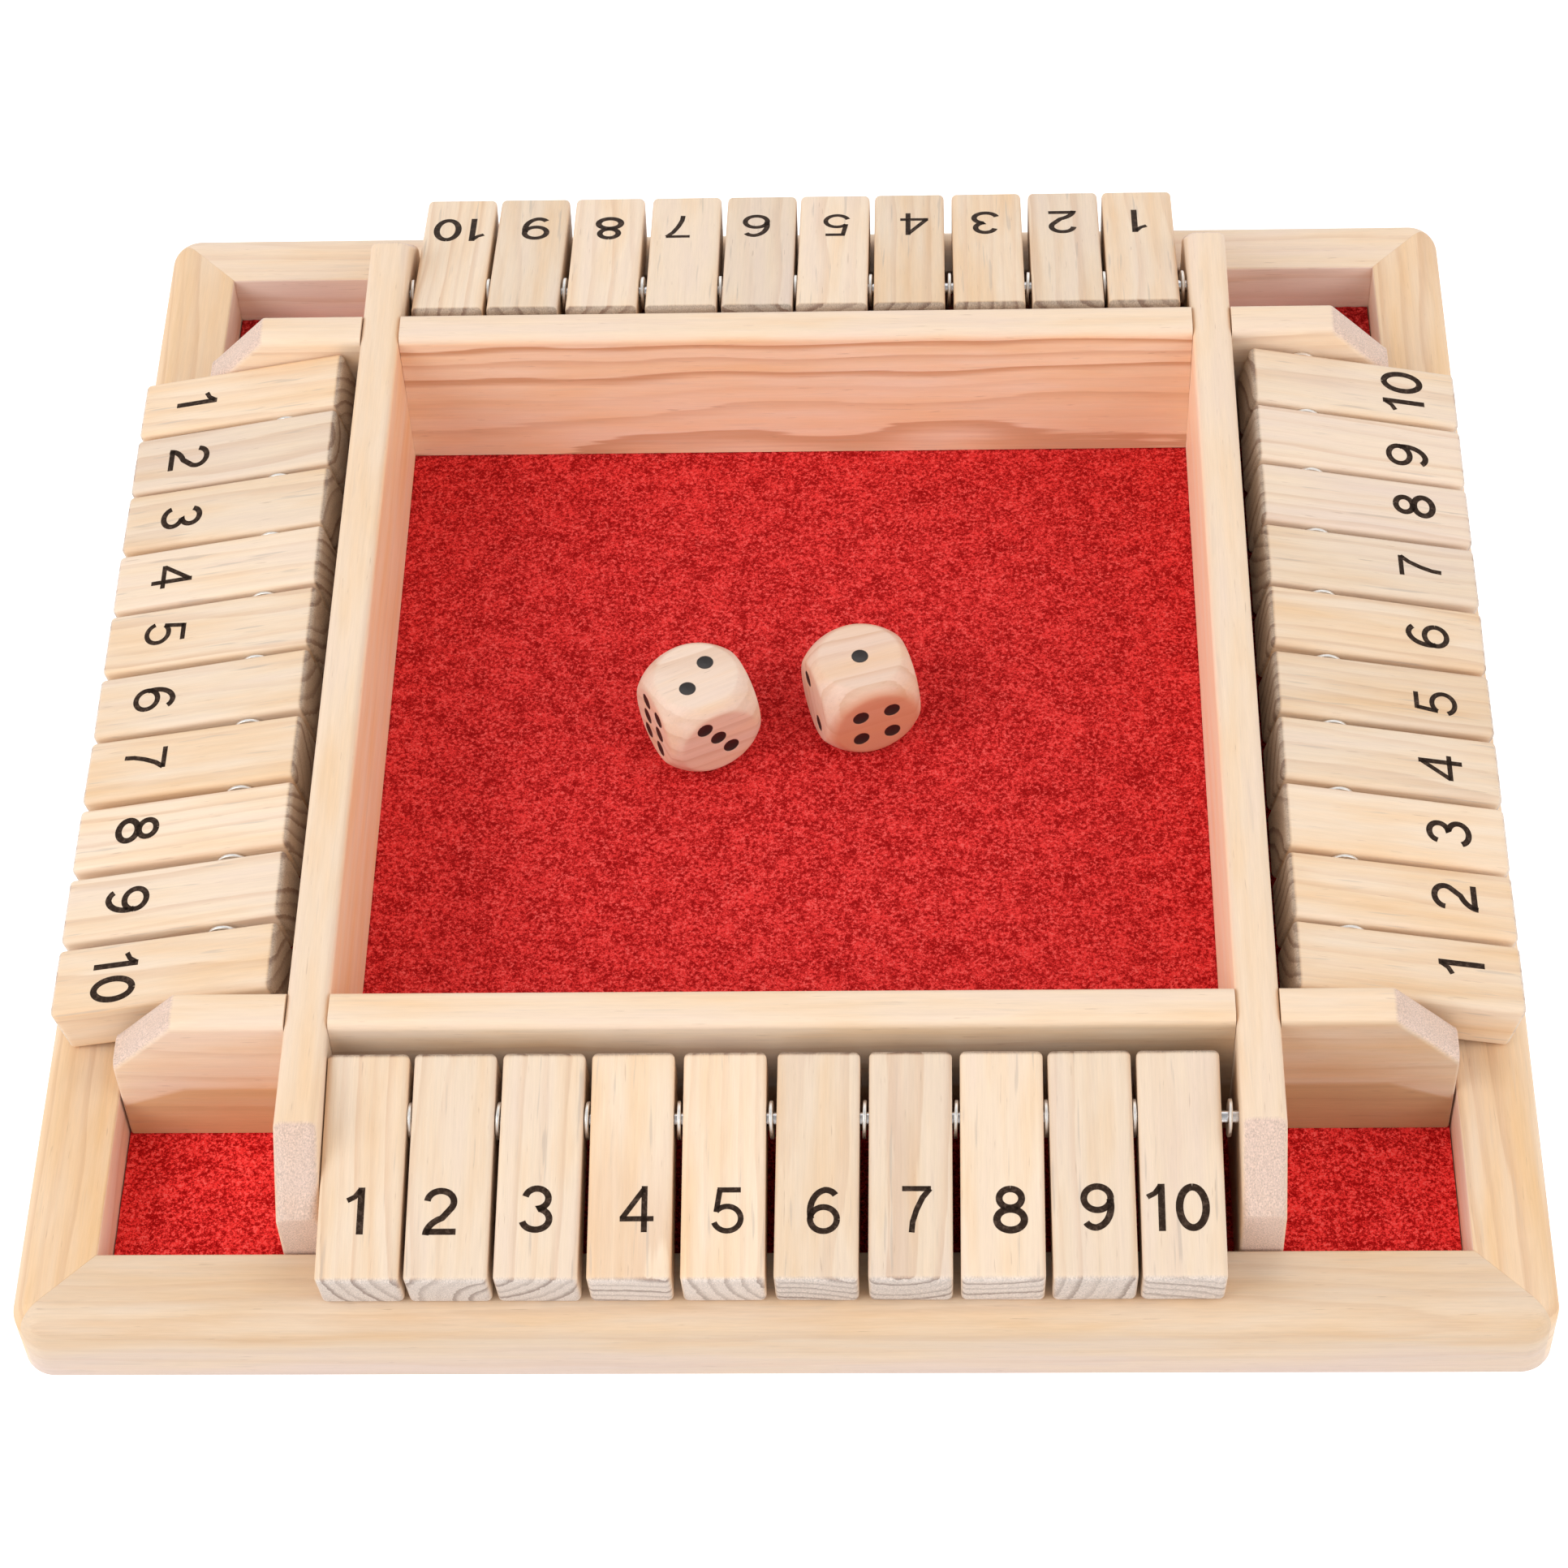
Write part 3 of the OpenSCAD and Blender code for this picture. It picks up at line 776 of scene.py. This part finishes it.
def rod_gaps(side, axis):
    """The free stretches of a rod, from its first board past each tile to its second board, as
    starts and ends. A leant tile covers its width over the cosine of its lean."""
    walls = ("wall_left", "wall_right") if axis == 0 else ("wall_front", "wall_back")
    stops = [(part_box(walls[0])[1][axis],) * 2, (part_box(walls[1])[0][axis],) * 2]
    for number, (*_, lean, _) in enumerate(TILE_LOOKS[side], 1):
        origin = leant_axes(f"tile_{side}_{number}", lean)[0]
        half = TILE_SIZE[0] / 2 / math.cos(math.radians(lean))
        stops.append((origin[axis] - half, origin[axis] + half))
    stops = np.array(sorted(stops))
    return stops[:-1, 1], stops[1:, 0]


def make_washers(side, seed):
    """Each washer is a rounded rectangle turned about the rod, in the middle of its gap, then
    leant about its own middle. The CAD node's points lie in one group for each washer."""
    rod_low, rod_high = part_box(f"rod_{side}")
    axis = 0 if side in ("front", "back") else 1
    centre = (np.array(rod_low) + np.array(rod_high)) / 2
    points = mesh_values(nodes[f"washers_{side}"].data.vertices, "co", 3)
    along = np.sort(points[:, axis])
    groups = np.split(along, np.nonzero(np.diff(along) > WASHER_APART)[0] + 1)
    starts, ends = rod_gaps(side, axis)
    middles, widths = (starts + ends) / 2, ends - starts
    outer, inner = float(np.ptp(points[:, 2])) / 2, WASHER_BORE / 2
    half, rim = WASHER_THICK / 2, WASHER_RIM
    section = np.concatenate([
        arc((outer - rim, half - rim), rim, 90, 0, 3),
        arc((outer - rim, rim - half), rim, 0, -90, 3),
        arc((inner + rim, rim - half), rim, 270, 180, 3),
        arc((inner + rim, half - rim), rim, 180, 90, 3)])
    angle = np.linspace(0, 2 * math.pi, WASHER_STEPS, endpoint=False)[:, None]
    x, y, z = (np.broadcast_to(section[:, 1], (WASHER_STEPS, len(section))),
               np.cos(angle) * section[:, 0], np.sin(angle) * section[:, 0])
    closed = np.arange(WASHER_STEPS + 1) % WASHER_STEPS
    quads = grid_quads(WASHER_STEPS + 1, len(section), wrap=True)
    quads = closed[quads // len(section)] * len(section) + quads % len(section)
    rng = np.random.default_rng(seed)
    all_points, all_faces = [], []
    for number, group in enumerate(groups):
        gap = np.argmin(np.abs(middles - (group[0] + group[-1]) / 2))
        room = max(widths[gap] / 2 - half - WASHER_PLAY, 0.0)
        lean = min(math.tan(math.radians(WASHER_LEAN)), room / outer) * rng.uniform(0.4, 1.0)
        swing = rng.uniform(0, 2 * math.pi)
        leant = np.stack([x + lean * (y * math.cos(swing) + z * math.sin(swing)), y, z], axis=-1)
        leant = leant.reshape(-1, 3) + (0, 0, ROD_RADIUS - inner)
        if axis == 1:
            leant = leant[:, [1, 0, 2]] * (-1, 1, 1)
        all_points.append(leant + np.where(np.arange(3) == axis, middles[gap], centre))
        all_faces.append(quads + number * len(leant))
    all_points, all_faces = np.concatenate(all_points), np.concatenate(all_faces)
    made = add_mesh(f"steel_washers_{side}", all_points,
                    outward_faces(all_points, all_faces).tolist(), washer_steel)
    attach(made, "frame")
    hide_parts(f"washers_{side}")


for seed, washer_side in enumerate(SIDES):
    make_washers(washer_side, 40 + seed)


# --------------------
# Numbers
# 1 to 10, screen printed in dark ink near each tile's free end, so that each side's player
# reads them upright. The print is as thin as paint and slightly uneven.

DIGIT_HEIGHT = 7.1 * MM
DIGIT_FROM_ROD = 16.1 * MM
# In digit heights: from one digit's left edge to the next one's, and a digit's width
DIGIT_ADVANCE = 0.66
DIGIT_WIDTH = 0.68
# How much nearer the rod each side's numbers were printed
PRINT_RISE = {"front": 1.1 * MM, "right": 0.0, "back": 0.5 * MM, "left": 0.5 * MM}
INK_PROUD = 0.02 * MM
INK_SUNK = 0.01 * MM
PRINT_PLAY = 0.2 * MM
INK_DARK = (0.028, 0.015, 0.009, 1)
INK_WORN = (0.095, 0.060, 0.043, 1)


def bow(cx, cy, rx, ry, start, end, steps=20):
    """Points along an ellipse's arc, in digit heights, angles in degrees."""
    return arc((0, 0), 1.0, start, end, steps) * (rx, ry) + (cx, cy)


# Each digit is a list of strokes: a weight and a centre line, in digit heights from the lower left
DIGITS = {
    "0": [(0.15, bow(0.34, 0.5, 0.265, 0.43, 90, 450, 48))],
    "1": [(0.14, [(0.38, 0.0), (0.38, 1.0)]), (0.11, [(0.10, 0.72), (0.25, 0.80), (0.36, 0.95)])],
    "2": [(0.135, np.concatenate([bow(0.35, 0.70, 0.27, 0.235, 175, -32, 24),
                                  bow(0.66, -0.02, 0.59, 0.42, 117, 178, 10)])),
          (0.13, [(0.06, 0.065), (0.68, 0.065)])],
    "3": [(0.135, np.concatenate([bow(0.33, 0.72, 0.235, 0.215, 168, -84, 22)[:-1],
                                  bow(0.32, 0.285, 0.275, 0.225, 86, -166, 26)]))],
    "4": [(0.12, [(0.51, 0.0), (0.51, 0.98)]), (0.11, [(0.51, 0.93), (0.06, 0.29)]),
          (0.11, [(0.02, 0.285), (0.70, 0.285)])],
    "5": [(0.115, bow(0.33, 0.32, 0.275, 0.26, 143, -162, 30)),
          (0.11, [(0.18, 0.94), (0.11, 0.46)]), (0.11, [(0.13, 0.93), (0.60, 0.93)])],
    "6": [(0.125, bow(0.355, 0.315, 0.27, 0.255, 0, 360, 40)),
          (0.13, np.concatenate([bow(0.42, 0.48, 0.335, 0.455, 200, 100, 20),
                                 bow(0.39, 0.73, 0.225, 0.205, 95, 28, 8)]))],
    "7": [(0.11, [(0.04, 0.93), (0.62, 0.93)]),
          (0.115, [(0.60, 0.93), (0.45, 0.74), (0.33, 0.48), (0.25, 0.22), (0.23, 0.0)])],
    "8": [(0.14, bow(0.35, 0.735, 0.225, 0.20, 90, 450, 36)),
          (0.15, bow(0.35, 0.285, 0.275, 0.22, 90, 450, 40))],
    "9": [(0.135, bow(0.325, 0.685, 0.27, 0.25, 0, 360, 40)),
          (0.14, np.concatenate([bow(0.26, 0.52, 0.335, 0.455, 20, -80, 20),
                                 bow(0.29, 0.27, 0.225, 0.205, -85, -152, 8)]))],
}


def make_ink():
    """Dark brown ink, worn paler in patches."""
    material, tree, shader = surface_material("Number ink", {"Specular IOR Level": 0.1})
    patch = stretched_noise(tree, object_point(tree), (1400, 1400, 1400), 3.0, 0.7).outputs[0]
    colour = mixed(tree, ramped(tree, patch, 0.45, 0.75), INK_DARK, INK_WORN)
    dress(tree, shader, colour, ramped(tree, patch, 0.3, 0.7, 0.5, 0.7))
    return material


ink = make_ink()


def ribbon(line, weight):
    """The two edges of a stroke: its centre line moved half its weight to either side."""
    line = np.asarray(line, float)
    keep = np.concatenate([[True], np.linalg.norm(np.diff(line, axis=0), axis=1) > 1e-4])
    line = line[keep]
    step = np.gradient(line, axis=0)
    step /= np.linalg.norm(step, axis=1)[:, None]
    normal = step[:, ::-1] * (-1, 1) * weight / 2
    return line + normal, line - normal


def make_number(side, number, lean, shift):
    """Every stroke is a thin closed strip, with its edges on the tile's face and just under it."""
    node = f"tile_{side}_{number}"
    origin, *axes = leant_axes(node, lean)
    rng = np.random.default_rng([7, SIDES.index(side), number])
    text = str(number)
    width = DIGIT_ADVANCE * (len(text) - 1) + DIGIT_WIDTH
    centre = (shift * MM, PRINT_RISE[side] - DIGIT_FROM_ROD)
    centre = centre + rng.uniform(-PRINT_PLAY, PRINT_PLAY, 2)
    points, faces, total = [], [], 0
    for place, digit in enumerate(text):
        for weight, line in DIGITS[digit]:
            left, right = ribbon(line, weight)
            flat = np.stack([left, right], axis=1) + (place * DIGIT_ADVANCE - width / 2, -0.5)
            flat = flat * DIGIT_HEIGHT + centre
            above = np.insert(flat, 2, BORE_DEPTH + INK_PROUD, axis=2)
            below = np.insert(flat[:, ::-1], 2, BORE_DEPTH - INK_SUNK, axis=2)
            rings = np.concatenate([above, below], axis=1)
            count = len(left)
            ends = np.array([[3, 2, 1, 0], [0, 1, 2, 3] + np.full(4, 4 * (count - 1))])
            faces.append(np.concatenate([grid_quads(count, 4, wrap=True), ends]) + total)
            points.append(rings.reshape(-1, 3))
            total += 4 * count
    points, faces = np.concatenate(points), np.concatenate(faces)
    made = add_mesh(f"number_{side}_{number}", origin + points @ np.array(axes),
                    outward_faces(points, faces).tolist(), ink)
    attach(made, node)


for number_side in SIDES:
    for value, (*_, tile_lean, print_shift) in enumerate(TILE_LOOKS[number_side], 1):
        make_number(number_side, value, tile_lean, print_shift)


# --------------------
# Dice
# Two pale wooden dice, tumbled until their corners are part of a ball, with shallow pips
# drilled and painted dark, under clear lacquer.

DIE_SIZE = 16 * MM
DIE_BALL = 20.7 * MM
# The higher, the crisper the edge between the cube's faces and the ball
DIE_SHARPNESS = 70
PIP_RADIUS = 1.34 * MM
PIP_DEPTH = 0.3 * MM
DIE_CELLS = 96
# The front face's painted light bounced off the red felt, and its painted shade, start this far in
# front of the die's middle
BOUNCE_START = 6.8 * MM
FLUSH_AND_BOUNCE = (0.68, 0.26, 0.14, 1)
PIP_PAINT = (0.016, 0.010, 0.009, 1)


def pip_grid(*places, step=2.6):
    """Pips at the given places, counted in steps of so many millimetres from the face's middle."""
    return [(x * step, y * step) for x, y in places]


# The standard patterns, and the few that were drilled askew on the faces that show
PIPS = {1: pip_grid((0, 0)), 2: pip_grid((-1, 1), (1, -1)), 3: pip_grid((-1, 1), (0, 0), (1, -1)),
        4: pip_grid((-1, 1), (1, -1), (-1, -1), (1, 1)),
        5: pip_grid((-1, 1), (1, -1), (-1, -1), (1, 1), (0, 0)),
        6: pip_grid(*((x, y) for x in (-0.6, 0.6) for y in (-1, 0, 1)), step=3.6)}
ASKEW_TWO = [(2.4, 1.8), (-2.4, -1.8)]
ASKEW_THREE = [(-2.4, 4.1), (-0.2, 1.1), (1.9, -2.0)]
# Each die's place on the felt in millimetres, its turn, its pith, how red its wood is and how much
# redder and darker its front face is, which is painted light bounced off the felt and painted
# shade, and its faces
DICE = {
    "left": {
        "place": (-15, 3), "yaw": 27, "pith": (0, 4, 19), "flush": (0.0, 0.06),
        "faces": {"top": ASKEW_TWO, "bottom": PIPS[5], "front": ASKEW_THREE, "back": PIPS[4],
                  "left": PIPS[6], "right": PIPS[1]}},
    "right": {
        "place": (11, 6.7), "yaw": 19, "pith": (200, 12, -9), "flush": (0.14, 0.62),
        "faces": {"top": PIPS[1], "bottom": PIPS[6], "front": PIPS[4], "back": PIPS[3],
                  "left": PIPS[2], "right": PIPS[5]}},
}
# Each face's axes across, up and out
DIE_FACES = {
    "top": [(1, 0, 0), (0, 1, 0), (0, 0, 1)], "bottom": [(1, 0, 0), (0, -1, 0), (0, 0, -1)],
    "front": [(1, 0, 0), (0, 0, 1), (0, -1, 0)], "back": [(-1, 0, 0), (0, 0, 1), (0, 1, 0)],
    "left": [(0, -1, 0), (0, 0, 1), (-1, 0, 0)], "right": [(0, 1, 0), (0, 0, 1), (1, 0, 0)]}


def make_dice_material():
    """Lacquered pine with a dark pip wherever the mesh's pip attribute, which is how many
    millimetres a point lies inside a pip's rim, is above 0."""
    material, tree, shader = surface_material(
        "Dice wood", {"Specular IOR Level": 0.45, "Coat Weight": 0.25, "Coat Roughness": 0.25})
    tone = shader_node(tree, "SeparateXYZ", {}, {0: attribute(tree, "tone", "Vector")})
    grain = shader_node(tree, "Group", {"node_tree": pine_group}, {
        "Board": attribute(tree, "board", "Vector"), "Warmth": tone.outputs["X"],
        "Light": tone.outputs["Y"], "Ring Width": 2.6, "Ring Strength": 0.45,
        "Pale": (0.83, 0.63, 0.50, 1)})
    pip = ramped(tree, attribute(tree, "pip", "Fac"), -0.06, 0.06)
    # Redder where the wood is redder, and on the front faces with painted light bounced off the
    # felt
    colour = mixed(tree, tone.outputs["Z"], grain.outputs["Color"], FLUSH_AND_BOUNCE)
    colour = mixed(tree, pip, colour, PIP_PAINT)
    dress(tree, shader, colour, grain.outputs["Roughness"], grain.outputs["Height"], 0.02 * MM)
    return material


dice_wood = make_dice_material()


def make_die(name, place, yaw, pith, flush, faces):
    """A point in direction d lies at the smooth lesser of two distances: to the cube, half over the
    largest part of d, and to the ball. Inside a pip it sinks by a shallow bowl. The first redness
    value is how red the wood is, and the second is how much redder and darker the front face is,
    which is painted light bounced off the red felt and painted shade."""
    angle = np.radians(np.linspace(-45, 45, DIE_CELLS + 1))
    u, v = np.meshgrid(np.tan(angle), np.tan(angle), indexing="ij")
    points, pips, quads, total = [], [], [], 0
    for face, places in faces.items():
        across, up, out = (np.array(axis, float) for axis in DIE_FACES[face])
        ray = u[..., None] * across + v[..., None] * up + out
        ray = ray / np.linalg.norm(ray, axis=-1)[..., None]
        to_cube, to_ball = DIE_SIZE / 2 / (ray @ out), DIE_BALL / 2
        reach = (to_cube ** -DIE_SHARPNESS + to_ball ** -DIE_SHARPNESS) ** (-1 / DIE_SHARPNESS)
        point = ray * reach[..., None]
        gaps = [np.hypot(point @ across - x * MM, point @ up - y * MM) for x, y in places]
        inside = PIP_RADIUS - np.min(gaps, axis=0)
        bowl = np.sqrt(np.clip(inside / PIP_RADIUS, 0, 1))
        points.append((point - out * (PIP_DEPTH * bowl)[..., None]).reshape(-1, 3))
        pips.append(inside.ravel() / MM)
        quads.append(grid_quads(*u.shape) + total)
        total += u.size
    points, pips = np.concatenate(points), np.concatenate(pips)
    kept, quads = welded(points, np.concatenate(quads), 3)
    points, pips = points[kept], pips[kept]
    low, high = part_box(f"die_{name}")
    centre = np.array([place[0] * MM, place[1] * MM, (low.z + high.z) / 2])
    # Towards the front face, the extra red and dark are painted light bounced off the felt and
    # painted shade
    nearness = np.clip((-points[:, 1] - BOUNCE_START) / (DIE_SIZE / 2 - BOUNCE_START), 0, 1)
    redness_and_bounce = flush[0] + flush[1] * nearness
    tone = redness_and_bounce[:, None] * (0.5, -0.16, 1.0)
    die = add_mesh(f"wooden_die_{name}", centre + spun(points, yaw),
                   outward_faces(points, quads).tolist(), dice_wood,
                   {"board": points / MM + pith, "pip": pips, "tone": tone}, smooth=60)
    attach(die, f"die_{name}")
    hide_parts(f"die_{name}")


for die_name, die in DICE.items():
    make_die(die_name, **die)


# --------------------
# Floor, light and camera
# A plain white table in a tent of white cloth, which three broad soft lamps light from the
# front corners and from the back. The camera looks down over the front side.

FLOOR_REACH = 3.0
FLOOR_GLOW = 0.6
# How bright the tent's walls are, low down and overhead
HORIZON = 1.1
ZENITH = 0.42
LAMP_SIZE = 0.9
# Each lamp's place and power
LAMPS = {"key lamp": ((-0.90, -0.50, 0.85), 8.0), "fill lamp": ((0.92, -0.50, 0.75), 4.6),
         "back lamp": ((0.10, 0.95, 0.90), 2.0)}
CAMERA_PLACE = (0.02254, -0.40788, 0.51814)
CAMERA_TURN = (38.054, 1.928, 0.954)
LENS = 93.2
SENSOR = 36


def make_floor():
    """White to the camera and to gloss, and a pale diffuse surface that takes the game's shadow."""
    material, tree, _ = surface_material("White floor", {})
    tree.nodes.clear()
    path = shader_node(tree, "LightPath", {}, {})
    diffuse = shader_node(tree, "BsdfDiffuse", {}, {"Color": (0.80, 0.80, 0.80, 1)})
    glow = shader_node(tree, "Emission", {}, {"Color": (1, 1, 1, 1), "Strength": FLOOR_GLOW})
    shown = path.outputs["Is Camera Ray"]
    for ray in ("Is Glossy Ray", "Is Transmission Ray"):
        shown = maths(tree, "MAXIMUM", shown, path.outputs[ray])
    both = shader_node(tree, "AddShader", {}, {0: diffuse.outputs[0], 1: glow.outputs[0]})
    pick = shader_node(tree, "MixShader", {}, {0: shown, 1: diffuse.outputs[0], 2: both.outputs[0]})
    output = shader_node(tree, "OutputMaterial", {}, {})
    tree.links.new(pick.outputs[0], output.inputs["Surface"])
    corners = np.array([(-1, -1, 0), (1, -1, 0), (1, 1, 0), (-1, 1, 0)]) * FLOOR_REACH
    floor = add_mesh("floor", corners, [[0, 1, 2, 3]], material)


def soft_lamp(name, place, power):
    """A square area lamp that faces the middle of the game."""
    light = bpy.data.lights.new(name, "AREA")
    light.size, light.energy = LAMP_SIZE, power
    lamp = place_object(name, light)
    lamp.location = place
    lamp.rotation_euler = (-lamp.location).to_track_quat("-Z", "Y").to_euler()


make_floor()
for lamp_name, (lamp_place, lamp_power) in LAMPS.items():
    soft_lamp(lamp_name, lamp_place, lamp_power)

world = bpy.data.worlds.new("Studio")
bpy.context.scene.world = world
world.use_nodes = True
tree = world.node_tree
direction = shader_node(tree, "TexCoord", {}, {}).outputs["Generated"]
sky = shader_node(tree, "SeparateXYZ", {}, {0: direction})
glow = shader_node(tree, "MapRange", {},
                   {0: sky.outputs["Z"], 1: 0.0, 2: 1.0, 3: HORIZON, 4: ZENITH})
tree.links.new(glow.outputs[0], tree.nodes["Background"].inputs["Strength"])
tree.nodes["Background"].inputs["Color"].default_value = (1, 1, 1, 1)

camera_data = bpy.data.cameras.new("Camera")
camera_data.lens, camera_data.sensor_width = LENS, SENSOR
camera = place_object("Camera", camera_data)
camera.location = CAMERA_PLACE
camera.rotation_euler = tuple(math.radians(angle) for angle in CAMERA_TURN)
bpy.context.scene.camera = camera
bpy.context.scene.view_settings.view_transform = "Standard"
